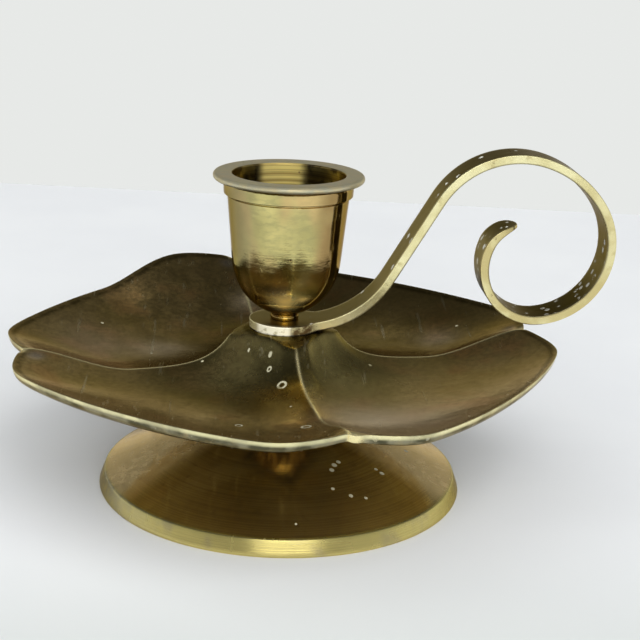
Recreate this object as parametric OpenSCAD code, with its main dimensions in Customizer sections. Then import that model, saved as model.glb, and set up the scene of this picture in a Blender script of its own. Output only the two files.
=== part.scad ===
// Brass chamber candlestick: a candle cup, a scrolled finger handle and a four-petal
// drip pan stacked on a hollow trumpet foot and pulled together by one long screw.
// Millimetres. Origin at the centre of the foot's resting plane, +Z up, handle towards +X.

/* [Foot] */
// Radius of the foot where it stands
foot_r = 36.7; // [32:0.1:42]
// Radius of the crisp edge at the top of the rim band
foot_edge_r = 35.6; // [31:0.1:41]
// Height of the rim band
foot_band_h = 3.4; // [2:0.1:5]
// Height of the cone where it runs into the neck
foot_cone_h = 12.4; // [10:0.1:15]
// Radius of the neck at its waist
neck_r = 5.6; // [4.5:0.1:6.5]
// Height of the neck's top, where the pan sits
neck_top = 31; // [28:0.5:36]
// Wall thickness of the hollow foot
foot_wall = 1.8; // [1.4:0.1:2.4]

/* [Drip pan] */
// Distance from the axis to the middle of a petal's edge and to each notch
petal_r = 51.3; // [46:0.1:56]
// How far each petal corner reaches beyond that
corner_reach = 4.3; // [1:0.1:6]
// Angle from a petal's middle to its corner
corner_angle = 31.5; // [24:0.5:34]
// Thickness of the casting
pan_t = 1.9; // [1.6:0.1:2.4]
// How far the lower edge of the rim is drawn in under the upper one
edge_draft = 0.5; // [0:0.1:0.8]
// Height of the rim edge
rim_z = 30.3; // [28:0.1:33]
// Height of a petal's floor
floor_z = 23.8; // [22:0.1:26]
// Lowest height of the crests between petals
crest_z = 25.3; // [24:0.1:27]
// Thickness of the hub that the handle is clamped on
hub_t = 2.1; // [1.8:0.1:2.6]
// Turn of the pan's crests from the handle
pan_turn = 10; // [0:1:20]
// How far the pan's rim is bent down on the right of the handle and up on its left
rim_lean = 0.5; // [0:0.1:2]
// How far one rear petal corner is bent up
lift_h = 4; // [0:0.1:6]
// Direction of that bent corner, from the handle
lift_angle = 115; // [108:1:118]

/* [Handle] */
// Thickness of the strap
strap_t = 1.75; // [1.4:0.05:2.2]
// Width of the strap
strap_w = 7.8; // [6:0.1:9]
// Radius of the flat eye under the cup
eye_r = 7; // [6:0.1:7.2]
// Distance from the axis to the first bend
strap_start = 3.2; // [3:0.1:5]
// Length of the straight rise before the scroll
rise_len = 18.3; // [16:0.1:20]

/* [Candle cup] */
// Radius of the candle socket
socket_r = 11; // [10.8:0.05:11.2]
// Length of the straight part of the socket
socket_len = 7; // [5:0.5:8]
// Height of the cup from its base to its lip
cup_h = 29.3; // [29:0.1:31]
// Radius of the lip flange
lip_r = 14.75; // [14:0.05:16]
// Radius of the raised band under the lip
band_r = 12.75; // [12.5:0.05:13.2]
// Radius of the bowl at the foot of its tapering wall
bowl_r = 10.75; // [10.6:0.05:11]

/* [Screw and washer] */
// Radius of the tie screw, whose hole leaves a wall in the ring under the cup
screw_r = 1.75; // [1.5:0.05:1.9]
// Radius of its slotted head
screw_head_r = 3.5; // [3.2:0.1:4.2]
// Height of its slotted head
screw_head_h = 2.4; // [2:0.1:3]
// Radius of the washer
washer_r = 5; // [4.5:0.1:6]
// Thickness of the washer
washer_t = 1; // [0.8:0.1:1.4]

/* [Hidden] */

eps = 0.01;                          // overlap that joins the screw's shank to its head
smooth = 96;                         // segments round the turned pieces
hole_gap = 0.25;                     // clearance of the screw in a plain hole
thread_gap = 0.05;                   // clearance of the screw in the tapped cup

pan_seat = neck_top + hub_t;         // top of the pan's hub
cup_base = pan_seat + strap_t;       // top of the handle's eye
cup_top = cup_base + cup_h;
foot_ceiling = foot_cone_h - 2.9;    // where the washer bears, inside the foot
screw_end = cup_base + 3.8;
cone_bulge = 0.5;                    // how far the cone swells above a straight line
neck_fillet = 5.2;                   // radius of the curve from the cone to the neck
collar_base = neck_top - 8;          // where the neck begins to widen to its collar
collar_reach = 4.6;                  // size of that curve outwards
collar_rise = 6.4;                   // size of that curve upwards

petals = 4;
half_petal = 180 / petals;
seat_r = eye_r + 0.2;                // flat part of the hub
hub_fall = 0.36;                     // slope of the hub outside its flat seat
hub_reach = 16;                      // the hub's corners lie inside this radius
crest_start = [11.3, pan_seat - 1.7];  // radius and height where a crest leaves the hub
floor_start = [8, pan_seat - 0.4];   // the same for the middle of a petal
crest_fall = 4.2;                    // radius over which a crest falls away from the hub
floor_fall = 4;                      // the same for the middle of a petal
crest_rise_r = 30;                   // radius where a crest begins to rise to the rim
floor_rise_r = 22;                   // radius where a floor does
crest_lip = 0.4;                     // height of a crest's end above the rim
lift_reach = [44, 24];               // angles over which the bent corner fades out
petal_steps = 20;                    // facets across one petal
ring_steps = 17;                     // facets from the hub to the rim

// Strap from the axis outwards: [radius, turn] of each bend, turns upwards positive,
// and [length, 0] for a straight piece
tip_turn = 54;
strap_pieces = [[strap_start, 0], [19.7, 60], [rise_len, 0], [17.8, -76], [20.9, -40],
                [14.9, -117], [10.6, -121], [7.7, -tip_turn]];
strap_step = 5;                      // largest turn between two points of a bend
tip_t = 0.5;                         // thickness left at the tip

base_r = 2.8;                        // radius of the ring under the cup's bowl

// ---- curves shared by several pieces ----

// Points of an arc about c from angle a0 to a1, radius r along x and rz along z
function arc(c, r, rz, a0, a1, n) =
    [for (i = [0:n]) let (a = a0 + (a1 - a0) * i / n) [c[0] + r * cos(a), c[1] + rz * sin(a)]];

// Smooth 0..1 step
function ease(x) = let (t = max(0, min(1, x))) t * t * (3 - 2 * t);

// ---- foot ----

// Outside of the foot, from the resting edge up to the neck's top
function foot_outside() = let (cone_end_r = neck_r + neck_fillet) concat(
    [[foot_r - 0.3, 0], [foot_r, 0.4], [foot_edge_r, foot_band_h]],
    [for (i = [1:4]) let (u = i / 5)
        [foot_edge_r + (cone_end_r - foot_edge_r) * u,
         foot_band_h + (foot_cone_h - foot_band_h) * u + cone_bulge * sin(180 * u)]],
    arc([cone_end_r, foot_cone_h + neck_fillet - 0.2], neck_fillet, neck_fillet, 265, 182, 8),
    [[neck_r, collar_base]],
    arc([neck_r + collar_reach, collar_base], collar_reach, collar_rise, 168, 118, 5),
    [[seat_r, neck_top - 1.6], [seat_r, neck_top]]);

// Inside of the foot, from the screw hole down to the resting edge
function foot_inside() = [
    [screw_r + hole_gap, neck_top],
    [screw_r + hole_gap, foot_ceiling],
    [washer_r + 1, foot_ceiling],
    [washer_r + 3, foot_ceiling - 0.2],
    [foot_edge_r - foot_wall, foot_band_h - foot_wall + 0.5],
    [foot_r - foot_wall - 0.9, 0]];

module foot() color("#7a6a34")
    rotate_extrude($fn = 144)
        polygon(concat(foot_outside(), foot_inside()));

// ---- drip pan ----

// Angle from the middle of the petal that direction a lies in, a from the handle
function petal_angle(a) =
    let (m = (a - pan_turn) % (2 * half_petal))
    (m < 0 ? m + 2 * half_petal : m) - half_petal;

// The lower of two positive values, blended where they cross
function soft_min(x, y) = x * y / pow(pow(x, 4) + pow(y, 4), 0.25);

// Radius of the rim at petal angle b: swells to the corners, falls back to the notches
function rim_r(b) = petal_r + corner_reach * soft_min(
    pow(abs(b) / corner_angle, 2),
    pow((half_petal - abs(b)) / (half_petal - corner_angle), 0.85));

// Height along a crest and along the middle of a petal, at radius r of a 51 mm petal
function crest_height(r) = crest_z
    + (crest_start[1] - crest_z) * exp(-(r - crest_start[0]) / crest_fall)
    + (rim_z + crest_lip - crest_z) * ease((r - crest_rise_r) / (petal_r + 1 - crest_rise_r));
function floor_height(r) = floor_z
    + (floor_start[1] - floor_z) * exp(-(r - floor_start[0]) / floor_fall)
    + (rim_z - floor_z) * pow(max(0, (r - floor_rise_r) / (petal_r - floor_rise_r)), 2.2);

// Lift of the bent corner at direction a and fraction u of the way to the rim
function lift(a, u) =
    let (d = a - lift_angle, reach = d < 0 ? lift_reach[0] : lift_reach[1])
    abs(d) < reach ? lift_h * pow(cos(90 * d / reach), 2) * ease((u - 0.5) / 0.55) * 1.02 : 0;

// Lean of the rim at direction a and fraction u of the way to it
function lean(a, u) = rim_lean * sin(a) * ease((u - 0.3) / 0.7);

// Height of the pan's upper face at direction a, radius r
function pan_height(a, r) =
    let (b = petal_angle(a), u = r / rim_r(b), q = u * petal_r,
         s = pow(abs(b) / half_petal, 3),
         dish = floor_height(q) + (crest_height(q) - floor_height(q)) * s,
         hub = pan_seat - hub_fall * max(0, r - seat_r))
    (r < hub_reach ? min(hub, dish) : dish) + lift(a, u) + lean(a, u);

// Radius of ring k at direction a: close together near the hub and the rim
function ring_radius(k, a) =
    let (u = k / ring_steps, v = u - 0.11 * sin(360 * u))
    seat_r + (rim_r(petal_angle(a)) - seat_r) * v;

module pan_shell() {
    count = petals * petal_steps;
    turn = 360 / count;
    rings = ring_steps + 1;
    under = count * rings;           // first point of the lower face
    top = [for (k = [0:ring_steps], j = [0:count - 1])
        let (a = pan_turn + j * turn, r = ring_radius(k, a))
        [r * cos(a), r * sin(a), pan_height(a, r)]];
    bottom = [for (k = [0:ring_steps], j = [0:count - 1])
        let (a = pan_turn + j * turn, r = ring_radius(k, a),
             t = hub_t + (pan_t - hub_t) * ease((r - seat_r) / 3),
             d = edge_draft * pow(k / ring_steps, 4))
        [(r - d) * cos(a), (r - d) * sin(a), pan_height(a, r) - t]];
    middle = 2 * under;              // centre points, upper then lower
    points = concat(top, bottom, [[0, 0, pan_seat], [0, 0, neck_top]]);
    faces = concat(
        [for (j = [0:count - 1]) let (n = (j + 1) % count) [middle, n, j]],
        [for (j = [0:count - 1]) let (n = (j + 1) % count) [middle + 1, under + j, under + n]],
        [for (k = [0:ring_steps - 1], j = [0:count - 1])
            let (n = (j + 1) % count, p = k * count, q = p + count)
            each [[p + j, p + n, q + j], [p + n, q + n, q + j]]],
        [for (k = [0:ring_steps - 1], j = [0:count - 1])
            let (n = (j + 1) % count, p = under + k * count, q = p + count)
            each [[p + j, q + j, p + n], [p + n, q + j, q + n]]],
        [for (j = [0:count - 1])
            let (n = (j + 1) % count, p = ring_steps * count)
            each [[p + j, p + n, under + p + j], [p + n, under + p + n, under + p + j]]]);
    polyhedron(points, faces);
}

module drip_pan() color("#6b5c2b")
    difference() {
        pan_shell();
        translate([0, 0, neck_top - 1])
            cylinder(r = screw_r + hole_gap, h = hub_t + 2, $fn = 48);
    }

// ---- handle ----

// Points along one piece of the strap's centre line, each [x, z, heading], after point p.
// A piece is [radius, turn]; turn 0 makes it a straight piece of that length.
function strap_piece(p, piece) =
    piece[1] == 0
    ? [[p[0] + piece[0] * cos(p[2]), p[1] + piece[0] * sin(p[2]), p[2]]]
    : let (n = ceil(abs(piece[1]) / strap_step), side = sign(piece[1]), r = side * piece[0],
           cx = p[0] - r * sin(p[2]), cz = p[1] + r * cos(p[2]))
      [for (i = [1:n]) let (h = p[2] + piece[1] * i / n) [cx + r * sin(h), cz - r * cos(h), h]];

// Centre line from piece i on
function strap_path(p, i = 0) =
    i == len(strap_pieces) ? [p]
    : let (piece = strap_piece(p, strap_pieces[i]), last = len(piece) - 1)
      concat([p], [for (k = [0:1:last - 1]) piece[k]], strap_path(piece[last], i + 1));

// Point d to the left of a centre-line point
function beside(p, d) = [p[0] - d * sin(p[2]), p[1] + d * cos(p[2])];

// Side view of the strap; along the last bend its outer face is eased in to the tip
module strap_outline() {
    path = strap_path([0, cup_base - strap_t / 2, 0]);
    tip_start = path[len(path) - 1][2] + tip_turn;
    function thin(p) = (strap_t - tip_t) * pow(max(0, (tip_start - p[2]) / tip_turn), 1.4);
    polygon(concat(
        [for (p = path) beside(p, strap_t / 2 - thin(p))],
        [for (i = [len(path) - 1:-1:0]) beside(path[i], -strap_t / 2)]));
}

module strap()
    translate([0, strap_w / 2, 0])
        rotate([90, 0, 0])
            linear_extrude(strap_w)
                strap_outline();

module handle() color("#b59a45")
    difference() {
        union() {
            translate([0, 0, pan_seat])
                cylinder(r = eye_r, h = strap_t, $fn = smooth);
            strap();
        }
        translate([0, 0, pan_seat - 1])
            cylinder(r = screw_r + hole_gap, h = strap_t + 2, $fn = 48);
    }

// ---- candle cup ----

// Outside of the cup from its base to the lip, heights above the base
function cup_outside() = let (
        bowl_z = bowl_r + 2.2,       // height of the bowl's centre
        bowl_drop = bowl_r + 1.2,    // from there down to its pole
        groove_z = cup_h - 4.5) concat(
    [[base_r - 0.15, 0], [base_r, 0.2], [base_r, 0.75], [base_r - 0.2, 0.95],
     [base_r + 0.1, 1.25]],
    arc([0, bowl_z], bowl_r, bowl_drop, -74, -5, 12),
    [[bowl_r + 1.15, groove_z], [bowl_r + 1, groove_z + 0.15],
     [bowl_r + 1, groove_z + 0.3], [band_r - 0.15, groove_z + 0.45],
     [band_r, cup_h - 1.9], [band_r + 0.15, cup_h - 1.6], [band_r + 0.6, cup_h - 1.35]],
    arc([lip_r - 0.6, cup_h - 0.65], 0.6, 0.65, -80, 80, 6));

// Inside of the cup from the lip down to the tapped hole
function cup_inside() = let (
        well_r = bowl_r - 1.05,
        well_z = bowl_r + 0.9) concat(
    [[socket_r + 0.3, cup_h], [socket_r, cup_h - 0.3], [socket_r, cup_h - 0.3 - socket_len]],
    arc([0, well_z], well_r, well_z - 5.1, 0, -78, 8),
    [[0, 5.1], [0, 4.2], [screw_r + thread_gap, 4.2], [screw_r + thread_gap, 0]]);

module candle_cup() color("#c4a548")
    translate([0, 0, cup_base])
        rotate_extrude($fn = smooth)
            polygon(concat(cup_outside(), cup_inside()));

// ---- screw and washer ----

module tie_screw() color("#9a9a96") {
    head_top = foot_ceiling - washer_t;
    slot_w = 1;
    slot_d = 1.2;
    difference() {
        union() {
            translate([0, 0, head_top - eps])
                cylinder(r = screw_r, h = screw_end - head_top, $fn = 48);
            rotate_extrude($fn = 64)
                polygon([[0, head_top], [screw_head_r, head_top],
                         [screw_head_r, head_top - screw_head_h + 0.5],
                         [screw_head_r - 0.5, head_top - screw_head_h],
                         [0, head_top - screw_head_h]]);
        }
        translate([-screw_head_r - 1, -slot_w / 2, head_top - screw_head_h - 1])
            cube([2 * screw_head_r + 2, slot_w, slot_d + 1]);
    }
}

module washer() color("#a8a8a4")
    translate([0, 0, foot_ceiling - washer_t])
        difference() {
            cylinder(r = washer_r, h = washer_t, $fn = 64);
            translate([0, 0, -1])
                cylinder(r = screw_r + hole_gap, h = washer_t + 2, $fn = 48);
        }

candle_cup();
handle();
drip_pan();
foot();
tie_screw();
washer();
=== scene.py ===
import math

import bmesh
import bpy
import numpy as np
from mathutils import Matrix, Vector


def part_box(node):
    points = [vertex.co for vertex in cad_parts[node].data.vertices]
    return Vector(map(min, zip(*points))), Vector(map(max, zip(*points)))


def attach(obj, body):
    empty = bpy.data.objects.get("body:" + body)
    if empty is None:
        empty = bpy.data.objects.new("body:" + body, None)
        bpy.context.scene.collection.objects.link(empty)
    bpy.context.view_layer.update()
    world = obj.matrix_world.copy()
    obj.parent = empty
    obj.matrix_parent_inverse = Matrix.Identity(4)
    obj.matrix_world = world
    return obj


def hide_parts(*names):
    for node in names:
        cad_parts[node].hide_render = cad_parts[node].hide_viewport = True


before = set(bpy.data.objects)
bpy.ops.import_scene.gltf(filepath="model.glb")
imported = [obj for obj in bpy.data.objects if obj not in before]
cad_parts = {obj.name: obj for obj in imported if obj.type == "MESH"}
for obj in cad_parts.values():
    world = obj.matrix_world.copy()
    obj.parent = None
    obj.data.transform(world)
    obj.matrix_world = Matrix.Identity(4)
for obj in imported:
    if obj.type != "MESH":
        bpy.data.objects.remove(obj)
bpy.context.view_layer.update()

# Looks for the brass chamber candlestick. Shapes are worked out in millimetres in the CAD
# frame (+X towards the handle, +Z up) and scaled to metres when their meshes are made.

MM = 0.001


def top_of(node):
    """Height of a CAD node's highest point, in millimetres."""
    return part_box(node)[1].z / MM


def base_of(node):
    """Height of a CAD node's lowest point, in millimetres."""
    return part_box(node)[0].z / MM


NECK_TOP = top_of("foot")                  # the pan's hub sits here
CUP_BASE = base_of("candle_cup")
CUP_H = top_of("candle_cup") - CUP_BASE
STRAP_T = CUP_BASE - base_of("handle")
PAN_SEAT = CUP_BASE - STRAP_T              # top of the pan's hub
FOOT_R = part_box("foot")[1].x / MM
HOLE_R = 2.0                               # screw holes
SEAT_R = 7.2                               # flat part of the hub


# ---------------------------------------------------------------- mesh helpers

def ease(x):
    """Smooth 0..1 step."""
    t = np.clip(x, 0, 1)
    return t * t * (3 - 2 * t)


def bump_at(x, centre, width):
    """Bell curve of height 1."""
    return np.exp(-((x - centre) / width) ** 2)


def arc(cx, cz, r, rz, start, end, steps):
    """Points of an elliptic arc, angles in degrees."""
    a = np.radians(np.linspace(start, end, steps + 1))
    return [(cx + r * math.cos(t), cz + rz * math.sin(t)) for t in a]


def round_corner(before, corner, after, steps=5):
    """Points of a curve that leaves one line, passes inside the corner and joins the next."""
    return [(1 - s) ** 2 * before + 2 * s * (1 - s) * corner + s * s * after
            for s in np.linspace(0, 1, steps)]


def filleted(outline):
    """Closed outline of (r, z) or (r, z, size): a corner with a size is rounded off."""
    points = []
    for i, p in enumerate(outline):
        corner = np.array(p[:2], float)
        if len(p) < 3:
            points.append(corner)
            continue
        sides = []
        for q in (outline[i - 1], outline[(i + 1) % len(outline)]):
            d = np.array(q[:2], float) - corner
            sides.append(corner + d * min(p[2] / np.linalg.norm(d), 0.48))
        points += round_corner(sides[0], corner, sides[1])
    return np.array(points)


def resampled(outline, longest=0.5):
    """The closed outline with its long sides split, so that they are shaded flat."""
    points = []
    for p, q in zip(outline, np.roll(outline, -1, 0)):
        count = max(1, math.ceil(np.linalg.norm(q - p) / longest))
        points += [p + (q - p) * k / count for k in range(count)]
    return np.array(points)


def grid_faces(rows, columns):
    """Quads between rows of points; rows and columns both wrap round."""
    i, j = np.meshgrid(np.arange(rows), np.arange(columns), indexing="ij")
    ni, nj = (i + 1) % rows, (j + 1) % columns
    corners = [i * columns + j, i * columns + nj, ni * columns + nj, ni * columns + j]
    return np.stack(corners, -1).reshape(-1, 4).tolist()


def make_piece(name, points, faces, node):
    """Mesh object that stands for a CAD node and rides on its body."""
    mesh = bpy.data.meshes.new(name)
    mesh.from_pydata((np.asarray(points) * MM).tolist(), [], faces)
    mesh.validate()
    work = bmesh.new()
    work.from_mesh(mesh)
    bmesh.ops.recalc_face_normals(work, faces=work.faces)
    work.to_mesh(mesh)
    work.free()
    mesh.shade_smooth()
    piece = bpy.data.objects.new(name, mesh)
    bpy.context.scene.collection.objects.link(piece)
    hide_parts(node)
    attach(piece, "root")
    return piece


def paint(piece, name, values):
    """Stores one number per vertex for the material to read."""
    layer = piece.data.attributes.new(name, "FLOAT", "POINT")
    layer.data.foreach_set("value", np.clip(values, 0, 1).astype(np.float32))


def lathe(name, outline, node, segments=256):
    """Turned piece from a closed outline of (r, z) points."""
    outline = resampled(outline)
    turn = np.radians(np.arange(segments) * 360 / segments)
    r, z = outline[:, 0][:, None], outline[:, 1][:, None]
    points = np.stack([r * np.cos(turn), r * np.sin(turn), z + 0 * turn], -1).reshape(-1, 3)
    return make_piece(name, points, grid_faces(len(outline), segments), node)


def bore(piece, r, bottom, top):
    """Cuts a round hole on the axis through a piece."""
    drill = bpy.data.meshes.new("drill")
    work = bmesh.new()
    bmesh.ops.create_cone(work, cap_ends=True, segments=64, radius1=r * MM, radius2=r * MM,
                          depth=(top - bottom) * MM,
                          matrix=Matrix.Translation((0, 0, (top + bottom) / 2 * MM)))
    work.to_mesh(drill)
    work.free()
    cutter = bpy.data.objects.new("drill", drill)
    bpy.context.scene.collection.objects.link(cutter)
    cut = piece.modifiers.new("bore", "BOOLEAN")
    cut.object, cut.operation, cut.solver = cutter, "DIFFERENCE", "EXACT"
    whole = piece.data
    view = bpy.context.evaluated_depsgraph_get()
    piece.data = bpy.data.meshes.new_from_object(piece.evaluated_get(view))
    piece.modifiers.remove(cut)
    bpy.data.objects.remove(cutter)
    bpy.data.meshes.remove(drill)
    bpy.data.meshes.remove(whole)


def vertices(piece):
    """Vertex positions in millimetres."""
    co = np.empty(len(piece.data.vertices) * 3)
    piece.data.vertices.foreach_get("co", co)
    return co.reshape(-1, 3) / MM


# ---------------------------------------------------------------- foot

FOOT_EDGE_R, FOOT_BAND_H = FOOT_R - 1.1, 3.4    # upper edge of the rim band
CONE_H, CONE_BULGE = 12.4, 0.5
NECK_R, NECK_FILLET = 5.6, 5.2
COLLAR_H, COLLAR_REACH, COLLAR_RISE = 8, 4.6, 6.4    # flare under the top of the neck
FOOT_WALL = 1.8
CEILING, CEILING_R = 9.5, 8                # flat top of the hollow underside


def foot_outline():
    """Rim band, low cone, waisted neck and collar, then the hollow underside."""
    cone_r, collar = NECK_R + NECK_FILLET, NECK_TOP - COLLAR_H
    cone = [(FOOT_EDGE_R + (cone_r - FOOT_EDGE_R) * u,
             FOOT_BAND_H + (CONE_H - FOOT_BAND_H) * u + CONE_BULGE * math.sin(math.pi * u))
            for u in np.linspace(0.06, 0.94, 14)]
    neck = arc(cone_r, CONE_H + NECK_FILLET - 0.2, NECK_FILLET, NECK_FILLET, 265, 182, 20)
    flare = arc(NECK_R + COLLAR_REACH, collar, COLLAR_REACH, COLLAR_RISE, 168, 118, 12)
    return filleted(
        [(FOOT_R - 0.3, 0, 0.15), (FOOT_R, 0.4, 0.25), (FOOT_EDGE_R, FOOT_BAND_H, 0.3)]
        + cone + neck + [(NECK_R, collar)] + flare
        + [(SEAT_R, NECK_TOP - 1.6, 0.3), (SEAT_R, NECK_TOP, 0.2),
           (HOLE_R, NECK_TOP), (HOLE_R, CEILING, 0.2), (CEILING_R - 2, CEILING),
           (CEILING_R, CEILING - 0.2, 0.8),
           (FOOT_EDGE_R - FOOT_WALL, FOOT_BAND_H - FOOT_WALL + 0.5, 1.2),
           (FOOT_R - FOOT_WALL - 0.9, 0, 0.2)])


def make_foot():
    foot = lathe("foot_shell", foot_outline(), "foot")
    x, y, z = vertices(foot).T
    r = np.hypot(x, y)
    way = np.degrees(np.arctan2(x, -y))    # 0 at the front, 90 towards the handle
    band = (r > FOOT_EDGE_R - 0.15) & (z < FOOT_BAND_H + 0.1)
    edge = bump_at(np.hypot(r - FOOT_EDGE_R, z - FOOT_BAND_H), 0, 0.5)
    hollow = np.interp(r, [CEILING_R, FOOT_EDGE_R - FOOT_WALL],
                       [CEILING - 0.2, FOOT_BAND_H - FOOT_WALL + 0.5])
    inside = (r < FOOT_R - 2.5) & (z < hollow + 0.3)
    paint(foot, "polish", np.where(band, 0.9, 0) + edge)
    cone = z > FOOT_BAND_H - 0.1
    # Painted reflection: the cone's sides and back are painted a lighter, hazy tan.
    paint(foot, "pale", cone * ease((abs(way) - 52) / 18) * ease((r - 9) / 6))
    paint(foot, "wear_and_sheen", band * (bump_at(way, -75, 25) + 0.4 * bump_at(way, 100, 30)))
    # Painted glint: golden streaks round the neck.
    paint(foot, "painted_glint", ease((13.5 - r) / 4) * (z > CEILING + 0.3))
    paint(foot, "hidden", inside * 1.0)
    return foot


# ---------------------------------------------------------------- drip pan

PAN_TURN = 10                              # direction of the first crest from the handle
PETAL_R = 51.3                             # rim in the middle of a petal
CORNER_REACH, CORNER_ANGLE = 4.3, 31.5     # how far, and where, its corners are bent out
RIM_Z, CREST_Z, FLOOR_Z = 30.3, 25.3, 23.8
RIM_T, HUB_T = 1.9, 2.1
LIFT_H, LIFT_ANGLE = 4.08, 115             # the rear corner that is bent up
LEAN = 0.5
FILED_DEPTH, DENT_DEPTH = 0.4, 0.22
HUB_REACH, HUB_SLOPE = 16, 0.36            # cone that caps the middle of the pan
# Patches of the petals, partly patina and partly painted reflection: x, y, radius and strength of
# the dull film, then of its grey tone
DULL_SHEEN_PATCHES = [(-30, 26, 22, 0.3), (-38, 9, 9, 0.25), (-24, 11, 6, 0.5), (-32, 34, 4, 0.45),
                (-7, 36, 3, 0.8), (21, 22, 7, 0.75), (34, 17, 6, 0.7), (-8, -8, 6, 0.3),
                (-16, -9, 6, 0.2), (-11, -32, 8, 0.45), (12, -10, 5, 0.45), (14, -31, 6, 0.2)]
GREY_SHEEN_PATCHES = [(-38, 9, 9, 0.5), (-24, 11, 6, 0.7), (-7, 36, 4, 0.7), (34, 17, 5, 0.5),
                (14, -30, 8, 0.8), (25, -30, 9, 0.6), (25, -42, 8, 0.6)]


def petal_angle(a):
    """Angle from the middle of the petal that direction a lies in."""
    return (a - PAN_TURN) % 90 - 45


def rim_radius(b):
    """Radius of the rim at petal angle b: bent-out corners, with a notch at the crest."""
    rise = (np.abs(b) / CORNER_ANGLE) ** 2
    fall = ((45 - np.abs(b)) / (45 - CORNER_ANGLE)) ** 0.85
    return PETAL_R + CORNER_REACH * rise * fall / (rise ** 4 + fall ** 4) ** 0.25


def crest_height(r):
    """Height of the crests between the petals."""
    return (CREST_Z + (PAN_SEAT - CREST_Z - 1.7) * np.exp(-(r - 11.3) / 4.2)
            + (RIM_Z + 0.4 - CREST_Z) * ease((r - 30) / (PETAL_R - 29)))


def floor_height(r):
    """Height of the middle of a petal."""
    return (FLOOR_Z + (PAN_SEAT - FLOOR_Z - 0.4) * np.exp(-(r - 8) / 4)
            + (RIM_Z - FLOOR_Z) * np.clip((r - 22) / (PETAL_R - 22), 0, None) ** 2.2)


def lift(a, u):
    """Lift of the bent rear corner at direction a, fraction u of the way to the rim."""
    d = a - LIFT_ANGLE
    reach = np.where(d < 0, 44, 24)
    bend = np.cos(np.radians(90 * np.clip(d / reach, -1, 1))) ** 2
    return LIFT_H * bend * ease((u - 0.5) / 0.55)


def lean(a, u):
    """Lean of the rim, down on the right of the handle and up on its left."""
    return LEAN * np.sin(np.radians(a)) * ease((u - 0.3) / 0.7)


def past_crest(b, r):
    """Distance in millimetres past the nearest crest, counted along the rim."""
    return np.radians(np.where(b > 0, b - 45, b + 45)) * r


def filed(b, r, rim):
    """Filed spot where each crest runs out at the rim."""
    return bump_at(past_crest(b, r), 0.9, 1.2) * bump_at(r - rim, 0.2, 1.3)


def dent(b, r, rim):
    """Shallow oval dent beside the end of each crest."""
    return bump_at(past_crest(b, r), 2.6, 1.5) * bump_at(r - rim, -3.4, 1.5)


def pan_height(a, r):
    """Height of the pan's upper face; the crests have a narrow rounded ridge."""
    b = petal_angle(a)
    rim = rim_radius(b)
    q = r / rim * PETAL_R
    off_crest = 45 - np.abs(b)
    ridge = 8 / np.maximum(r, 8)           # half width of the ridge in degrees
    s = ((45 - np.sqrt(off_crest ** 2 + ridge ** 2) + 0.3 * ridge) / 45).clip(0) ** 3
    dish = floor_height(q) + (crest_height(q) - floor_height(q)) * s
    hub = PAN_SEAT - HUB_SLOPE * np.clip(r - SEAT_R, 0, None)
    height = np.where(r < HUB_REACH, np.minimum(hub, dish), dish)
    height = height + lift(a, r / rim) + lean(a, r / rim)
    return height - FILED_DEPTH * filed(b, r, rim) - DENT_DEPTH * dent(b, r, rim)


def pan_directions():
    """Directions of the mesh columns, closest together along the crests."""
    t = np.linspace(0, 1, 84, endpoint=False)
    across = 90 * (t - 0.92 * np.sin(2 * np.pi * t) / (2 * np.pi))
    return np.concatenate([PAN_TURN + 90 * k + across for k in range(4)]) % 360


def pan_zones():
    """Directions, then rings of (radius, height) over them, once round the pan's section and
    grouped by the zone that they lie in."""
    a = pan_directions()
    rim = rim_radius(petal_angle(a))
    flat = np.full_like(a, 1.0)

    def at(r, down):
        return np.stack([r, pan_height(a, r) - down], -1)

    u = np.linspace(0, 1, 60)
    u = u - 0.11 * np.sin(2 * np.pi * u)
    inner, outer = SEAT_R, rim - 0.3
    upper = [at(inner + (outer - inner) * k, 0) for k in u]
    edge, foot = at(rim, 0), at(rim, RIM_T) - np.stack([0.5 * flat, 0 * flat], -1)
    down = foot - edge
    upper_turn = round_corner(upper[-1], edge, edge + 0.12 * down)[1:]
    under_in = rim - RIM_T
    lower_turn = round_corner(edge + 0.55 * down, foot, at(under_in, RIM_T))
    lower = [at(inner + (under_in - inner) * k, HUB_T + (RIM_T - HUB_T) * ease(k * 12))
             for k in u[::-1]][1:]
    bore_top = np.stack([HOLE_R * flat, PAN_SEAT * flat], -1)
    bore_foot = np.stack([HOLE_R * flat, NECK_TOP * flat], -1)
    return a, {"upper": [bore_top] + upper, "edge": upper_turn + [edge + 0.3 * down],
               "side": lower_turn, "lower": lower + [bore_foot]}


def patches(points, places):
    """Summed strength at each point of round patches (x, y, radius, strength)."""
    return sum(strength * bump_at(np.hypot(points[:, 0] - x, points[:, 1] - y), 0, size)
               for x, y, size, strength in places)


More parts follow.
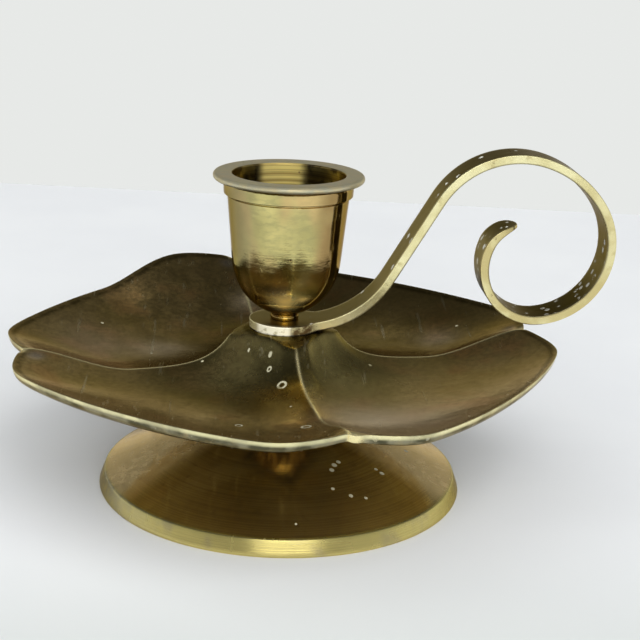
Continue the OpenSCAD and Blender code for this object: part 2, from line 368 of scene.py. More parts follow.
def paint_pan(pan, points, a, r, zone):
    """Per vertex: where the pan shows wear and a hazy or matt film, and where highlights,
    reflections and shade are painted on it.
    """
    b = petal_angle(a)
    rim = rim_radius(b)
    above = zone != "lower"
    crest = bump_at((45 - np.abs(b)) * np.pi / 180 * r, 0, 0.32) * ease((r - 9) / 4)
    # Partly patina, partly painted sheen: the hazy film is strongest on the front petals, most of
    # all the front-right one.
    front = ease(0.5 - points[:, 1] / 60)
    front_right = ((a - PAN_TURN + 90) % 360 < 90) & (r > 9)
    haze_and_sheen = front * np.where(front_right, 0.05 + 0.65 * ease((r - 10) / 18),
                            0.5 * ease((r - 22) / 14))
    # Painted shade: a dark line just inside the rim where the dish meets it, and a ring round the
    # hub's seat under the eye.
    shade_lines = bump_at(r - rim, -1.2, 0.6) + 2 * bump_at(r, SEAT_R + 0.4, 0.5)
    paint(pan, "polish", ((zone == "edge") | (zone == "side")) * 1.0)
    # Painted highlight over real wear: a pale line along the rim's upper edge, and pale along the
    # crests and the filed spots.
    paint(pan, "bright", (zone == "edge") * 0.9)
    paint(pan, "crest", above * (0.9 * crest + 1.3 * filed(b, r, rim)))
    paint(pan, "haze_and_sheen", above * haze_and_sheen)
    paint(pan, "dull_and_sheen", above * patches(points, DULL_SHEEN_PATCHES))
    # Grey tone on the dents and patches: partly patina, partly painted reflection.
    paint(pan, "grey", above * (1.3 * dent(b, r, rim) + patches(points, GREY_SHEEN_PATCHES)))
    paint(pan, "painted_shade", (zone == "upper") * shade_lines)
    paint(pan, "hub", 1 - ease((r - 10) / 26))
    paint(pan, "rim", ease((r - rim + 9) / 8))
    # Painted shade: the underside is painted dark.
    paint(pan, "hidden", (zone == "lower") * 1.0)


def make_pan():
    directions, zones = pan_zones()
    rings = np.array(sum(zones.values(), []))
    a = np.tile(directions, len(rings))
    r, z = rings.reshape(-1, 2).T
    points = np.stack([r * np.cos(np.radians(a)), r * np.sin(np.radians(a)), z], -1)
    pan = make_piece("drip_pan_shell", points, grid_faces(len(rings), len(directions)),
                     "drip_pan")
    counts = [len(group) * len(directions) for group in zones.values()]
    paint_pan(pan, points, a, r, np.repeat(list(zones), counts))
    return pan


# ---------------------------------------------------------------- handle

STRAP_W, EYE_R = 7.8, 7
TIP_TURN = 54                              # bend over which the strap gets thinner
TIP_T, TIP_ROUND = 0.5, 4.5                # thickness at the tip, length of its rounding
# From the axis outwards: (radius, turn) of each bend in degrees, or (length, 0)
STRAP = [(3.2, 0), (19.7, 60), (18.3, 0), (17.8, -76), (20.9, -40),
         (14.9, -117), (10.6, -121), (7.7, -TIP_TURN)]


def strap_line(step=0.1):
    """Distance along the strap, x, z and heading of closely spaced centre-line points."""
    s, x, z, heading = [0.0], [0.0], [CUP_BASE - STRAP_T / 2], [0.0]
    for size, turn in STRAP:
        length = abs(math.radians(turn)) * size if turn else size
        count = math.ceil(length / step)
        for _ in range(count):
            middle = math.radians(heading[-1] + turn / count / 2)
            s.append(s[-1] + length / count)
            x.append(x[-1] + length / count * math.cos(middle))
            z.append(z[-1] + length / count * math.sin(middle))
            heading.append(heading[-1] + turn / count)
    return np.array([s, x, z, heading])


def strap_half_width(s, end):
    """Half width at distance s: the round eye, the strap, and the rounded tip."""
    eye = np.sqrt(np.clip(EYE_R ** 2 - s ** 2, 0, None))
    strap = np.where(s > 0, STRAP_W / 2, 0)
    width = (eye ** 8 + strap ** 8) ** 0.125
    tip = np.sqrt(1 - ((s - end) / TIP_ROUND + 1).clip(0, 1) ** 2.4)
    return width * tip


def strap_stations(end):
    """Distances of the mesh rows, closest together round the eye and the tip."""
    eye = -EYE_R * np.cos(np.radians(np.linspace(0, 118, 34)))
    tip = end - TIP_ROUND * (1 - np.sin(np.radians(np.linspace(0, 90, 16))))
    middle = np.linspace(eye[-1], tip[0], 260)[1:-1]
    return np.concatenate([eye, middle, tip])


def strap_section():
    """Inset and height (-1 to 1) of the rounded side face, from below to above."""
    lower = round_corner(np.array([0.16, -1.0]), np.array([0.0, -1.0]), np.array([0.0, -0.8]))
    middle = [np.array([0.0, level]) for level in (-0.6, 0.0, 0.6)]
    upper = [p * (1, -1) for p in lower[::-1]]
    return np.array(lower + middle + upper)


def strap_rows(s, w):
    """Rows of flat strap points (distance, across, level), with each row's polish, in the
    order that they follow each other round the section."""
    slope = np.gradient(w, s)
    inwards = np.stack([slope, -np.ones_like(s)], -1)
    inwards[0], inwards[-1] = (1, 0), (-1, 0)
    inwards /= np.linalg.norm(inwards, axis=1)[:, None]

    def side_face(side):
        rows = []
        for inset, level in strap_section():
            p = np.stack([s, w], -1) + inwards * np.minimum(inset, w * 0.6 + 0.05)[:, None]
            across = side * np.maximum(p[:, 1], 0)
            shine = 0.3 if inset > 0.1 else 1
            rows.append((np.stack([p[:, 0], across, 0 * s + level], -1), shine))
        return rows

    def wide_face(start, end):
        return [(start * (1 - k) + end * k, 0) for k in np.linspace(0, 1, 10)[1:-1]]

    far, near = side_face(1), side_face(-1)[::-1]
    return far + wide_face(far[-1][0], near[0][0]) + near + wide_face(near[-1][0], far[0][0])


def bent(flat, line):
    """Carries flat strap points (distance, across, level) onto the strap's centre line."""
    along, across, level = flat.T
    x, z, heading = (np.interp(along, line[0], row) for row in line[1:])
    x = np.where(along < 0, along, x)
    tip_length = math.radians(TIP_TURN) * STRAP[-1][0]
    tip = ((along - line[0, -1]) / tip_length + 1).clip(0, 1)
    thin = (STRAP_T - TIP_T) * tip ** 1.4
    h = level * STRAP_T / 2 - thin * (level + 1) / 2
    turn = np.radians(heading)
    return np.stack([x - h * np.sin(turn), across, z + h * np.cos(turn)], -1)


def make_handle():
    line = strap_line()
    s = strap_stations(line[0, -1])
    rows = strap_rows(s, strap_half_width(s, line[0, -1]))
    flat = np.concatenate([row for row, _ in rows])
    faces = [[a * len(s) + j, a * len(s) + j + 1, b * len(s) + j + 1, b * len(s) + j]
             for a in range(len(rows)) for b in [(a + 1) % len(rows)] for j in range(len(s) - 1)]
    handle = make_piece("handle_strap", bent(flat, line), faces, "handle")
    polish = np.repeat([shine for _, shine in rows], len(s))
    along, across, level = flat.T
    front = (across < 0) * polish
    scroll, end = 72, 84                   # where the side face turns tan, where wax sits
    paint(handle, "polish", polish)
    paint(handle, "eye", 1 - ease((along - EYE_R) / 14))
    # The side of the eye has a painted highlight, pale and matt, at the front and is burnt brown
    # next to that
    paint(handle, "eye_highlight", front * ease((along + 6.2) / 1.2) * ease((1.6 - along) / 1.2))
    paint(handle, "brown", 2 * front * bump_at(along, 3.3, 1.9))
    # Painted shade: the lower rounded edge is darkened, fully by the eye as a contact shadow and
    # less along the strap.
    paint(handle, "under_edge_shade", (level < -0.7) * np.where(along < EYE_R + 2, 1, 0.6))
    paint(handle, "tanned", polish * ease((along - scroll) / 10))
    paint(handle, "waxed", ease((along - end) / 8))
    work = bmesh.new()
    work.from_mesh(handle.data)
    bmesh.ops.remove_doubles(work, verts=work.verts, dist=1e-6)
    work.to_mesh(handle.data)
    work.free()
    bore(handle, HOLE_R, PAN_SEAT - 1, CUP_BASE + 1)
    return handle


# ---------------------------------------------------------------- candle cup

SOCKET_R, LIP_R, BAND_R, BOWL_R = 11, 14.75, 12.75, 10.75
SOCKET_FOOT = CUP_H - 7.3                  # the socket is straight down to here, then tapers
WELL_R, WELL_RZ, WELL_Z = BOWL_R - 1.05, BOWL_R - 4.2, BOWL_R + 0.9    # ellipse of the well


def cup_outline():
    """Base ring, bowl, groove, raised band and lip flange, then the socket and its well."""
    groove = CUP_H - 4.5
    outside = (
        [(2.65, 0, 0.1), (2.8, 0.2, 0.15), (2.8, 0.75, 0.15), (2.6, 0.95, 0.1), (2.9, 1.25)]
        + arc(0, BOWL_R + 2.2, BOWL_R, BOWL_R + 1.2, -74, -5, 48)
        + [(BOWL_R + 1.15, groove, 0.1), (BOWL_R + 1, groove + 0.15, 0.05),
           (BOWL_R + 1, groove + 0.3, 0.05), (BAND_R - 0.15, groove + 0.45, 0.15),
           (BAND_R, CUP_H - 1.9), (BAND_R + 0.15, CUP_H - 1.6, 0.2),
           (BAND_R + 0.6, CUP_H - 1.35, 0.2)]
        + arc(LIP_R - 0.6, CUP_H - 0.65, 0.6, 0.65, -80, 80, 12))
    inside = ([(SOCKET_R + 0.3, CUP_H, 0.2), (SOCKET_R, CUP_H - 0.3, 0.3),
               (SOCKET_R, SOCKET_FOOT)]
              + arc(0, WELL_Z, WELL_R, WELL_RZ, 0, -78, 20) + [(1.8, 5.1), (1.8, 0)])
    return filleted(outside + inside) + (0, CUP_BASE)


def bore_radius(z):
    """Radius of the socket's tapered part and of the well under it, at height z."""
    well = WELL_R * np.sqrt(np.clip(1 - ((WELL_Z - z) / WELL_RZ) ** 2, 0, 1))
    return np.where(z > WELL_Z, np.interp(z, [WELL_Z, SOCKET_FOOT], [WELL_R, SOCKET_R]), well)


def make_cup():
    cup = lathe("cup_shell", cup_outline(), "candle_cup")
    x, y, z = vertices(cup).T
    z = z - CUP_BASE
    r = np.hypot(x, y)
    side = x / r                           # -1 on the left of the axis, 1 towards the handle
    flange = (z > CUP_H - 1.45) & (r > SOCKET_R + 0.1)
    base = (z < 1.3) & (r < 2.95)
    inside = (r < bore_radius(z) + 0.1) & (z > 4)
    outside = 1 - inside
    wall = ease((z - 8) / 6) * outside * (1 - flange)
    bowl = ease((9 - z) / 4) * outside
    edge = bump_at(np.hypot(r - LIP_R, z - CUP_H + 0.65), 0, 0.5)
    patch = (bump_at(np.hypot((side + 0.05) * 7, z - 5.4), 0, 2.0)
             + 0.7 * bump_at(np.hypot((side - 0.35) * 9, (z - 6.2) * 2), 0, 1.2))
    # Painted shade and reflection: the left of the wall is painted dark, and the right of the wall
    # and the sides of the bowl orange-brown.
    paint(cup, "left_shade", wall * ease((-side - 0.35) / 0.5))
    paint(cup, "stain", np.maximum(wall * ease((side - 0.3) / 0.35),
                                   bowl * ease((abs(side) - 0.3) / 0.3)))
    # Painted reflection: a golden highlight on the front of the bowl.
    paint(cup, "painted_glint", patch * outside * (y < 0))
    # Painted shade: the left and right sides of the bore are darkened with a sooty tone.
    paint(cup, "bore_side_shade", inside * ease((abs(side + 0.08) - 0.3) / 0.2))
    paint(cup, "satin", flange * 1.0)
    paint(cup, "hidden", inside * 1.0)
    paint(cup, "polish", 0.55 + 0.45 * base + 0.4 * edge)
    return cup


# ---------------------------------------------------------------- material helpers

def put(tree, socket, value):
    """Gives a socket its value, or links the socket that the value comes from."""
    if isinstance(value, bpy.types.NodeSocket):
        tree.links.new(value, socket)
    else:
        socket.default_value = value


def add(tree, kind, inputs=(), **settings):
    """Adds a node. inputs maps a socket name or number to a value or to another socket."""
    node = tree.nodes.new(kind)
    for key, value in settings.items():
        setattr(node, key, value)
    for key, value in dict(inputs).items():
        put(tree, node.inputs[key], value)
    return node


def calc(tree, operation, *values, clamp=False):
    """One Math node; values are numbers or sockets."""
    return add(tree, "ShaderNodeMath", dict(enumerate(values)),
               operation=operation, use_clamp=clamp).outputs[0]


def times(tree, a, b):
    return calc(tree, "MULTIPLY", a, b)


def plus(tree, a, b):
    return calc(tree, "ADD", a, b)


def minus(tree, a, b, clamp=False):
    return calc(tree, "SUBTRACT", a, b, clamp=clamp)


def most(tree, a, b):
    """The larger of two values."""
    return calc(tree, "MAXIMUM", a, b)


def fade(tree, value, start, end, low=0.0, high=1.0):
    """Maps value from start..end to low..high, smoothly and clamped."""
    return add(tree, "ShaderNodeMapRange",
               {0: value, 1: start, 2: end, 3: low, 4: high},
               interpolation_type="SMOOTHSTEP").outputs[0]


def mix(tree, factor, a, b):
    """Blends two colours."""
    return add(tree, "ShaderNodeMix", {0: factor, 6: a, 7: b}, data_type="RGBA").outputs[2]


def layered(tree, colour, layers):
    """Lays colours over the first one; each layer has (factor, strength, colour)."""
    for factor, strength, top in layers:
        colour = mix(tree, times(tree, factor, strength), colour, top)
    return colour


def summed(tree, value, parts):
    """The value with shares of others added; each part has (value, share)."""
    for part, share in parts:
        value = plus(tree, value, times(tree, part, share))
    return value


def millimetres(tree):
    """Position in the frame that the pieces are modelled in, in millimetres."""
    place = add(tree, "ShaderNodeTexCoord").outputs["Object"]
    return add(tree, "ShaderNodeVectorMath", {0: place, "Scale": 1000.0},
               operation="SCALE").outputs[0]


def stretched(tree, vector, scale, turn=(0, 0, 0)):
    """The vector turned and scaled differently along each axis."""
    return add(tree, "ShaderNodeMapping",
               {"Vector": vector, "Rotation": tuple(math.radians(t) for t in turn),
                "Scale": scale}).outputs[0]


def noise(tree, vector, size, detail=3.0, rough=0.5):
    """Noise whose features are about size millimetres across."""
    return add(tree, "ShaderNodeTexNoise",
               {"Vector": vector, "Scale": 1 / size, "Detail": detail,
                "Roughness": rough}).outputs[0]


def specks(tree, vector, size, share, spread):
    """Scattered round dots, 1 inside a dot: size of the cells, share (0 to 1) of them that
    have a dot, and the dot's radius as a share of the cell."""
    cells = add(tree, "ShaderNodeTexVoronoi", {"Vector": vector, "Scale": 1 / size})
    chance = add(tree, "ShaderNodeSeparateColor", {0: cells.outputs["Color"]}).outputs[0]
    dot = fade(tree, cells.outputs["Distance"], spread, spread * 0.6)
    return times(tree, dot, calc(tree, "LESS_THAN", chance, share))


def ring(tree, vector, place, radius, width):
    """One ring, or one full spot when width is 0, seen along the axis; 1 on the line."""
    flat = add(tree, "ShaderNodeVectorMath", {0: vector, 1: (1, 1, 0)}, operation="MULTIPLY")
    away = add(tree, "ShaderNodeVectorMath", {0: flat.outputs[0], 1: (*place, 0)},
               operation="DISTANCE").outputs["Value"]
    if width:
        away = calc(tree, "ABSOLUTE", minus(tree, away, radius))
        return fade(tree, away, width, width * 0.4)
    return fade(tree, away, radius, radius * 0.6)


def wax_drops(tree, vector, wax, drops, hidden):
    """Adds the named drops to scattered wax, and leaves out what is hidden."""
    for place, radius, width in drops:
        wax = most(tree, wax, ring(tree, vector, place, radius, width))
    return times(tree, wax, minus(tree, 1, hidden))


def attributes(tree, *names):
    """The numbers that were painted on the mesh under these names."""
    return [add(tree, "ShaderNodeAttribute", attribute_name=name).outputs["Fac"]
            for name in names]


def turned(tree, vector):
    """Coordinates that run along turning marks: radius, a slow change round, and height."""
    axes = add(tree, "ShaderNodeSeparateXYZ", {0: vector}).outputs
    square = plus(tree, times(tree, axes[0], axes[0]), times(tree, axes[1], axes[1]))
    r = calc(tree, "SQRT", square)
    way = add(tree, "ShaderNodeVectorMath", {0: vector}, operation="NORMALIZE").outputs[0]
    flat = add(tree, "ShaderNodeSeparateXYZ", {0: way}).outputs
    return add(tree, "ShaderNodeCombineXYZ",
               {0: r, 1: times(tree, flat[0], 1.3), 2: axes[2]}).outputs[0]


def scratches(tree, vector, size, turn):
    """Thin straight lines in one direction, 1 on a line."""
    lines = noise(tree, stretched(tree, vector, (1, 0.035, 0.6), turn), size, 2.0, 0.6)
    return fade(tree, lines, 0.66, 0.74)


def new_material(name):
    """Material, its node tree and its shader, whose reflections are tinted brown."""
    material = bpy.data.materials.new(name)
    material.use_nodes = True
    tree = material.node_tree
    shader = tree.nodes["Principled BSDF"]
    shader.inputs["Specular Tint"].default_value = (0.62, 0.52, 0.36, 1)
    return material, tree, shader


def connect(tree, shader, colour, roughness, metallic, heights):
    """Wires up the shader; heights is a stack of (height, millimetres) bumps."""
    for name, value in (("Base Color", colour), ("Roughness", roughness),
                        ("Metallic", metallic)):
        put(tree, shader.inputs[name], value)
    normal = None
    for height, depth in heights:
        inputs = {"Height": height, "Distance": depth * MM, "Strength": 1.0}
        if normal is not None:
            inputs["Normal"] = normal
        normal = add(tree, "ShaderNodeBump", inputs).outputs[0]
    tree.links.new(normal, shader.inputs["Normal"])


# ---------------------------------------------------------------- materials

# PALE also serves as a painted highlight on the pan's rim edge.
PALE = (0.93, 0.86, 0.50, 1)               # bare polished brass
BROWN = (0.30, 0.20, 0.08, 1)
# Sooty dark: real dark spots on the foot, and painted shade in the bore and along the strap's
# lower edge.
SOOT_AND_SHADE = (0.09, 0.07, 0.04, 1)
WAX = (0.42, 0.41, 0.30, 1)
# Wax left on the pan: (x, y) of each drop, its radius, and the width of its ring (0: a spot)
PAN_DROPS = [((-0.9, -16.0), 0.75, 0.3), ((-3.0, -9.3), 0.45, 0), ((-7.1, -6.5), 0.3, 0),
             ((-3.2, -11.4), 0.35, 0.2), ((0.5, -23.9), 0.3, 0), ((-9.3, -32.8), 0.6, 0.25),
             ((2.7, -34.9), 0.8, 0.3)]
# Wax left on the foot: the same, spots only
FOOT_DROPS = [((10.7, -14.8), 0.55, 0), ((9.8, -16.0), 0.65, 0), ((9.2, -17.6), 0.6, 0),
              ((19.3, -15.1), 0.6, 0), ((18.2, -14.3), 0.45, 0), ((9.1, -22.8), 0.45, 0),
              ((12.5, -23.9), 0.5, 0), ((15.4, -23.7), 0.4, 0), ((1.7, -32.1), 0.3, 0)]


def cup_brass():
    """Polished cup: yellow-olive with orange and green patches, satin lip, painted shade on its
    sides and bowl, a painted golden reflection on the bowl, and painted sooty shade at the sides
    of the bore.
    """
    material, tree, shader = new_material("cup_brass")
    at = millimetres(tree)
    polish, left_shade, stain, satin, inside, painted_glint, dark = attributes(
        tree, "polish", "left_shade", "stain", "satin", "hidden", "painted_glint", "bore_side_shade")
    cloud = noise(tree, at, 9, 3)
    fine = noise(tree, stretched(tree, at, (0.7, 0.7, 1.8)), 1.5, 5, 0.6)
    lines = noise(tree, stretched(tree, turned(tree, at), (9, 0.5, 9)), 1.6, 4)
    marks = most(tree, scratches(tree, at, 2.2, (20, 35, 10)),
                 scratches(tree, at, 2.8, (70, 10, 60)))
    warm = fade(tree, noise(tree, stretched(tree, at, (1, 1, 0.5)), 10, 2), 0.46, 0.6)
    patchy = fade(tree, cloud, 0.25, 0.55, 0.6, 1.0)
    sooty = noise(tree, stretched(tree, at, (1, 1, 0.8)), 3.5, 4)
    rings = noise(tree, stretched(tree, turned(tree, at), (1, 0.3, 2.5)), 1.6, 3)
    bore = mix(tree, fade(tree, rings, 0.42, 0.58), (0.44, 0.32, 0.09, 1), (0.90, 0.74, 0.24, 1))
    pits = specks(tree, at, 2.6, 0.10, 0.12)
    brass = mix(tree, fade(tree, cloud, 0.35, 0.7), (0.56, 0.49, 0.20, 1), (0.86, 0.74, 0.30, 1))
    colour = layered(tree, brass, [
        (fade(tree, fine, 0.42, 0.66), 0.6, (0.46, 0.42, 0.19, 1)),
        (warm, 0.6, (0.80, 0.52, 0.24, 1)),
        (fade(tree, polish, 0.6, 1), 0.9, (0.95, 0.66, 0.20, 1)),
        # Painted shade: dark on the left of the wall, orange-brown on the right and on the bowl's
        # sides.
        (times(tree, left_shade, patchy), 0.9, (0.27, 0.23, 0.11, 1)),
        (times(tree, stain, patchy), 0.9, (0.32, 0.21, 0.08, 1)),
        # Painted reflection: golden highlight on the bowl.
        (painted_glint, fade(tree, fine, 0.35, 0.5), (1.0, 0.68, 0.20, 1)),
        (satin, fade(tree, fine, 0.35, 0.65, 0.75, 1.0), (0.50, 0.475, 0.34, 1)),
        (inside, fade(tree, lines, 0.4, 0.6, 0.8, 1.0), bore),
        # Painted shade: sooty dark at the sides of the bore.
        (dark, fade(tree, sooty, 0.4, 0.56, 0.45, 1.0), SOOT_AND_SHADE),
        (pits, 1, BROWN)])
    rough = summed(tree, fade(tree, cloud, 0.3, 0.7, 0.07, 0.12),
                   [(satin, 0.25), (inside, 0.2), (marks, 0.1)])
    film = times(tree, minus(tree, inside, dark, clamp=True), 0.45)
    film = most(tree, film, times(tree, satin, 0.28))
    film = most(tree, film, times(tree, painted_glint, 0.5))
    connect(tree, shader, colour, rough, minus(tree, 1, film),
            [(noise(tree, at, 5, 2), 0.06), (fine, 0.012), (lines, 0.005), (marks, -0.008),
             (pits, -0.05)])
    return material


def handle_brass():
    """Strap: polished pale edges, olive-brown wide faces with flecks of wax, a painted highlight
    on the front of the eye and painted shade along its lower edge.
    """
    material, tree, shader = new_material("handle_brass")
    at = millimetres(tree)
    polish, eye, tanned, waxed, brown, under_edge_shade, wear_and_sheen = attributes(
        tree, "polish", "eye", "tanned", "waxed", "brown", "under_edge_shade", "eye_highlight")
    cloud, grit = noise(tree, at, 6, 3), noise(tree, at, 0.9, 3)
    stain = fade(tree, noise(tree, at, 2.2, 4), 0.56, 0.68)
    wide = mix(tree, fade(tree, cloud, 0.35, 0.7), (0.17, 0.15, 0.07, 1), (0.27, 0.24, 0.13, 1))
    wide = layered(tree, wide, [(eye, 0.8, (0.50, 0.42, 0.19, 1))])
    edge = mix(tree, fade(tree, cloud, 0.4, 0.6), PALE, (0.80, 0.72, 0.38, 1))
    edge = layered(tree, edge, [
        (stain, 0.5, (0.50, 0.40, 0.17, 1)),
        (tanned, fade(tree, cloud, 0.38, 0.58, 0.35, 0.9), (0.64, 0.53, 0.24, 1))])
    flecks = specks(tree, stretched(tree, at, (1, 0.8, 0.7)), 1.7,
                    fade(tree, waxed, 0, 1, 0.2, 0.75), 0.36)
    flat = minus(tree, 1, polish, clamp=True)
    wax = times(tree, times(tree, flecks, flat), fade(tree, grit, 0.42, 0.52))
    # Painted highlight: the front of the eye's side is pale and matt.
    eye_highlight = times(tree, wear_and_sheen, fade(tree, grit, 0.3, 0.45, 0.45, 0.8))
    colour = layered(tree, mix(tree, polish, wide, edge), [
        (wax, 1, (0.78, 0.78, 0.68, 1)),
        (brown, fade(tree, grit, 0.3, 0.5), (0.16, 0.10, 0.04, 1)),
        # Painted shade along the lower edge.
        (under_edge_shade, 1, SOOT_AND_SHADE),
        (eye_highlight, 1, (0.92, 0.88, 0.72, 1))])
    marks = scratches(tree, at, 1.6, (0, 40, 0))
    rough = summed(tree, fade(tree, cloud, 0.3, 0.7, 0.14, 0.22), [(flat, 0.14), (marks, 0.1)])
    film = most(tree, most(tree, wax, eye_highlight),
                times(tree, polish, fade(tree, eye, 0, 1, 0.12, 0.34)))
    connect(tree, shader, colour, rough, minus(tree, 1, film),
            [(noise(tree, at, 2.5, 3), 0.05), (marks, -0.01),
             (specks(tree, at, 1.5, 0.12, 0.15), -0.04)])
    return material


def pan_brass():
    """Tarnished pan: dark olive by the hub, hazy tan in the dishes that is partly painted sheen,
    rubbed rim and crests with painted highlights, and painted shade underneath and along its
    creases.
    """
    material, tree, shader = new_material("pan_brass")
    at = millimetres(tree)
    hub, haze_and_sheen, under, crest, dull_and_sheen = attributes(tree, "hub", "haze_and_sheen", "hidden", "crest", "dull_and_sheen")
    cloud = noise(tree, at, 14, 4)
    fine = noise(tree, at, 2.4, 5, 0.6)
    grain = noise(tree, at, 0.9, 5, 0.7)
    marks = most(tree, scratches(tree, at, 1.3, (0, 0, 70)), scratches(tree, at, 1.6, (0, 0, 110)))
    wax = wax_drops(tree, at, specks(tree, at, 5.5, 0.22, 0.08), PAN_DROPS, under)
    wax = times(tree, wax, fade(tree, fine, 0.4, 0.55, 0.5, 0.95))
    colour = layered(tree, pan_tarnish(tree, at, cloud, fine, grain), [
        (wax, 1, WAX),
        (marks, 0.45, (0.62, 0.56, 0.36, 1))])
    rough = summed(tree, fade(tree, cloud, 0.3, 0.7, 0.13, 0.20), [
        (marks, 0.12), (fade(tree, fine, 0.4, 0.7), 0.06), (under, 0.4), (hub, 0.08)])
    broken = fade(tree, noise(tree, at, 5, 4, 0.6), 0.36, 0.6, 0.5, 1.0)
    film = times(tree, plus(tree, haze_and_sheen, times(tree, dull_and_sheen, broken)),
                 fade(tree, grain, 0.35, 0.65, 0.38, 0.26))
    film = most(tree, film, times(tree, crest, 0.22))
    connect(tree, shader, colour, rough, minus(tree, 1, most(tree, wax, film)),
            [(noise(tree, at, 7, 2), 0.10), (fine, 0.015), (grain, 0.01), (marks, -0.02),
             (specks(tree, at, 3.1, 0.14, 0.11), -0.06)])
    return material


def pan_tarnish(tree, at, cloud, fine, grain):
    """Colour of the pan's tarnish, of the places where it is rubbed off, and of the highlights,
    reflections and shade painted on it.
    """
    polish, hub, rim, under, bright, crest, grey, painted_shade = attributes(
        tree, "polish", "hub", "rim", "hidden", "bright", "crest", "grey", "painted_shade")
    stain = fade(tree, noise(tree, at, 10, 2), 0.5, 0.7)
    wear_and_sheen = mix(tree, fade(tree, noise(tree, at, 3.5, 4), 0.4, 0.62),
               (0.09, 0.085, 0.05, 1), (0.28, 0.26, 0.17, 1))
    brass = mix(tree, fade(tree, cloud, 0.35, 0.65), (0.40, 0.29, 0.10, 1), (0.50, 0.36, 0.14, 1))
    return layered(tree, brass, [
        (stain, 0.6, (0.52, 0.29, 0.11, 1)),
        (rim, 0.4, (0.52, 0.38, 0.16, 1)),
        (hub, 0.7, (0.27, 0.25, 0.10, 1)),
        (fade(tree, fine, 0.5, 0.75), 0.25, BROWN),
        (fade(tree, grain, 0.42, 0.6), 0.35, (0.24, 0.18, 0.07, 1)),
        # Grey tone: partly patina, partly painted reflection.
        (grey, 0.7, (0.54, 0.46, 0.35, 1)),
        # Painted shade: dark underside.
        (under, 0.75, (0.14, 0.12, 0.06, 1)),
        (polish, fade(tree, fine, 0.3, 0.5, 0.7, 1.0), wear_and_sheen),
        # Painted shade inside the rim and round the seat.
        (painted_shade, fade(tree, fine, 0.35, 0.5, 0.35, 0.75), (0.08, 0.06, 0.02, 1)),
        # Painted highlights over wear: the rim's upper edge, then the crests.
        (bright, fade(tree, noise(tree, at, 6, 3), 0.38, 0.58, 0.5, 1.0), PALE),
        (crest, 1, (0.95, 0.84, 0.46, 1))])


def foot_brass():
    """Turned foot: brown tarnished cone with faint turning lines and a bright rim band, painted
    lighter reflections on the cone's sides and back, and painted golden glints by the neck.
    """
    material, tree, shader = new_material("foot_brass")
    at = millimetres(tree)
    polish, pale, wear_and_sheen, upper, inside = attributes(
        tree, "polish", "pale", "wear_and_sheen", "painted_glint", "hidden")
    cloud = noise(tree, at, 12, 4)
    lines = noise(tree, stretched(tree, turned(tree, at), (6, 0.4, 6)), 1.5, 4)
    fine = noise(tree, at, 2.0, 5, 0.6)
    marks = scratches(tree, at, 3.0, (0, 0, 80))
    streaks = fade(tree, noise(tree, stretched(tree, at, (1, 1, 0.15)), 1.3, 3), 0.43, 0.55)
    # Painted glint: golden streaks by the neck.
    painted_glint = times(tree, upper, streaks)
    spots = specks(tree, at, 4.2, 0.10, 0.10)
    wax = specks(tree, stretched(tree, at, (1, 1, 1), (30, 0, 20)), 6.5, 0.12, 0.09)
    wax = wax_drops(tree, at, wax, FOOT_DROPS, inside)
    cone = mix(tree, fade(tree, cloud, 0.35, 0.65), (0.72, 0.53, 0.18, 1), (0.90, 0.69, 0.28, 1))
    cone = layered(tree, cone, [
        (fade(tree, lines, 0.42, 0.58), 0.3, BROWN),
        # Painted reflection: lighter tan on the cone's sides and back.
        (pale, 1, (0.88, 0.67, 0.33, 1)),
        (fade(tree, fine, 0.55, 0.75), 0.3, BROWN)])
    band = mix(tree, fade(tree, noise(tree, at, 8, 3), 0.5, 0.66),
               (0.66, 0.56, 0.20, 1), (0.54, 0.46, 0.21, 1))
    band = layered(tree, band, [
        (wear_and_sheen, fade(tree, fine, 0.4, 0.6, 0.6, 1.0), (0.36, 0.34, 0.24, 1))])
    colour = layered(tree, mix(tree, polish, cone, band), [
        # The first layer is the painted golden glint by the neck.
        (painted_glint, 1, (0.98, 0.66, 0.24, 1)), (spots, 1, SOOT_AND_SHADE), (wax, 1, WAX), (inside, 0.8, BROWN)])
    rough = summed(tree, fade(tree, cloud, 0.3, 0.7, 0.09, 0.16), [(marks, 0.12), (polish, 0.14)])
    film = most(tree, times(tree, painted_glint, 0.3),
                times(tree, pale, fade(tree, fine, 0.35, 0.6, 0.32, 0.2)))
    connect(tree, shader, colour, rough,
            minus(tree, 0.98, most(tree, wax, film), clamp=True),
            [(noise(tree, at, 9, 2), 0.08), (lines, 0.01), (marks, -0.01), (spots, -0.03)])
    return material


def plated_steel():
    """Dull zinc plating with turning marks and dark spots."""
    material, tree, shader = new_material("plated_steel")
    at = millimetres(tree)
    lines = noise(tree, stretched(tree, turned(tree, at), (8, 0.5, 8)), 1.2, 4)
    cloud = noise(tree, at, 1.5, 4)
    zinc = mix(tree, fade(tree, cloud, 0.35, 0.65), (0.40, 0.39, 0.36, 1), (0.58, 0.57, 0.54, 1))
    colour = layered(tree, zinc, [
        (specks(tree, at, 0.9, 0.12, 0.2), 0.7, (0.12, 0.10, 0.08, 1))])
    connect(tree, shader, colour, fade(tree, cloud, 0.3, 0.7, 0.3, 0.45), 1,
            [(lines, 0.015), (cloud, 0.02)])
    return material


# ---------------------------------------------------------------- stage, light, camera

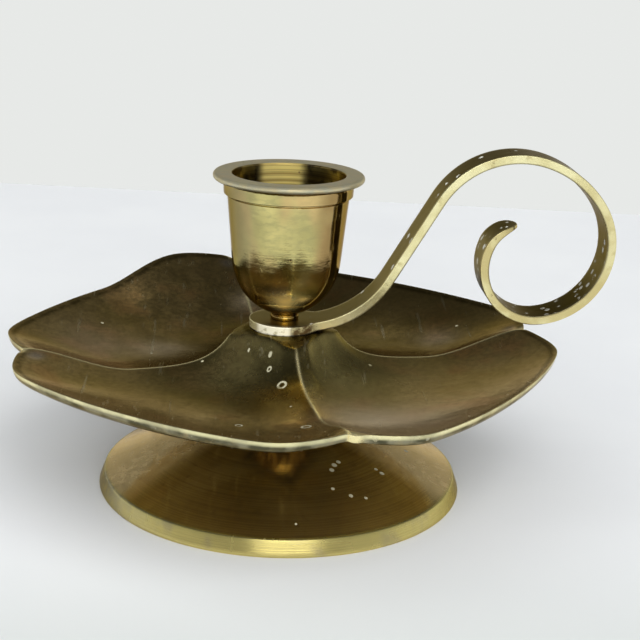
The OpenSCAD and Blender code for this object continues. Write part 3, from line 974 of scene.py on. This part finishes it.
def make_table():
    """Plain pale table top with painted shade darkening it towards the front, and a straight back
    edge a little way behind the object.
    """
    front, back, side, turn = -1.6, 0.2795, 1.8, math.radians(-7)
    corners = [(-side, front), (side, front), (side, back + side * math.tan(turn)),
               (-side, back - side * math.tan(turn))]
    mesh = bpy.data.meshes.new("table")
    mesh.from_pydata([(x, y, 0) for x, y in corners], [], [[0, 1, 2, 3]])
    table = bpy.data.objects.new("table", mesh)
    bpy.context.scene.collection.objects.link(table)
    material, tree, shader = new_material("table_paint")
    at = millimetres(tree)
    shade = mix(tree, fade(tree, noise(tree, at, 60, 3), 0.3, 0.7),
                (0.80, 0.82, 0.84, 1), (0.83, 0.85, 0.865, 1))
    # Painted shade: the table gets darker towards the front.
    depth = add(tree, "ShaderNodeSeparateXYZ", {0: at}).outputs[1]
    shade = mix(tree, fade(tree, depth, -20, -80), shade, (0.70, 0.73, 0.72, 1))
    shader.inputs["Specular Tint"].default_value = (1, 1, 1, 1)
    tree.links.new(shade, shader.inputs["Base Color"])
    shader.inputs["Roughness"].default_value = 0.55
    table.data.materials.append(material)


def make_world():
    """Pale walls all round, growing dimmer higher up and darkest straight overhead."""
    world = bpy.data.worlds.new("studio")
    bpy.context.scene.world = world
    world.use_nodes = True
    tree = world.node_tree
    way = add(tree, "ShaderNodeSeparateXYZ",
              {0: add(tree, "ShaderNodeTexCoord").outputs["Generated"]}).outputs
    level = add(tree, "ShaderNodeMapRange", {0: way[2], 1: -1.0, 2: 1.0}).outputs[0]
    height = add(tree, "ShaderNodeValToRGB", {0: level})
    ramp = height.color_ramp
    stops = [(0.53, 0.80), (0.56, 0.60), (0.60, 0.38), (0.65, 0.25),
             (0.75, 0.12), (0.85, 0.06), (1.0, 0.04)]
    while len(ramp.elements) < len(stops):
        ramp.elements.new(0.5)
    for element, (position, grey) in zip(ramp.elements, stops):
        element.position = position
        element.color = (grey, grey * 1.02, grey, 1)
    tree.links.new(height.outputs[0], tree.nodes["Background"].inputs["Color"])


def make_light(name, place, target, size, power):
    """Area light aimed at a point; positions in metres."""
    data = bpy.data.lights.new(name, "AREA")
    data.shape, data.size, data.size_y = "RECTANGLE", size[0], size[1]
    data.energy = power
    light = bpy.data.objects.new(name, data)
    light.location = place
    light.rotation_euler = (Vector(target) - Vector(place)).to_track_quat("-Z", "Y").to_euler()
    light.visible_camera = False
    bpy.context.scene.collection.objects.link(light)


def make_sun(name, bearing, elevation, spread, strength):
    """Soft daylight from a bearing (0 is from the camera, 90 from the right), in degrees."""
    data = bpy.data.lights.new(name, "SUN")
    data.angle, data.energy = math.radians(spread), strength
    sun = bpy.data.objects.new(name, data)
    sun.rotation_euler = (math.radians(90 - elevation), 0, math.radians(bearing))
    sun.visible_glossy = False
    bpy.context.scene.collection.objects.link(sun)


def make_lights():
    """Three soft suns that leave no glint, and a low window that the brass mirrors."""
    centre = (0, 0, 0.03)
    make_sun("daylight", 40, 45, 50, 1.6)
    make_sun("fill", -60, 55, 90, 1.55)
    make_sun("front", 0, 22, 60, 1.7)
    make_light("window", (0.05, -0.9, 0.36), centre, (0.6, 0.22), 1.2)


def make_camera():
    """Low three-quarter view: the lens, place and turn that the picture was taken with."""
    distance, height, lens = 0.27499, 0.11792, 81.02
    bearing, yaw, pitch, roll = (math.radians(v) for v in (3.0, 4.481, 16.854, 2.328))
    data = bpy.data.cameras.new("camera")
    data.lens, data.sensor_width = lens, 36
    data.clip_start = 0.01
    camera = bpy.data.objects.new("camera", data)
    level = Vector((math.sin(yaw), math.cos(yaw), 0))
    across = Vector((math.cos(yaw), -math.sin(yaw), 0))
    upright = Vector((0, 0, 1))
    forward = level * math.cos(pitch) - upright * math.sin(pitch)
    above = upright * math.cos(pitch) + level * math.sin(pitch)
    right = across * math.cos(roll) + above * math.sin(roll)
    up = above * math.cos(roll) - across * math.sin(roll)
    place = Vector((-distance * math.sin(bearing), -distance * math.cos(bearing), height))
    camera.matrix_world = (Matrix.Translation(place)
                           @ Matrix((right, up, -forward)).transposed().to_4x4())
    bpy.context.scene.collection.objects.link(camera)
    bpy.context.scene.camera = camera


# ---------------------------------------------------------------- put together

def build():
    """The four brass pieces, steel for the screw and washer, then what stands round them."""
    for make, finish in ((make_foot, foot_brass), (make_pan, pan_brass),
                         (make_handle, handle_brass), (make_cup, cup_brass)):
        make().data.materials.append(finish())
    steel = plated_steel()
    for node in ("tie_screw", "washer"):
        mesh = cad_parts[node].data
        mesh.materials.clear()
        mesh.materials.append(steel)
    bpy.context.scene.view_settings.view_transform = "Standard"
    make_table()
    make_world()
    make_lights()
    make_camera()


build()
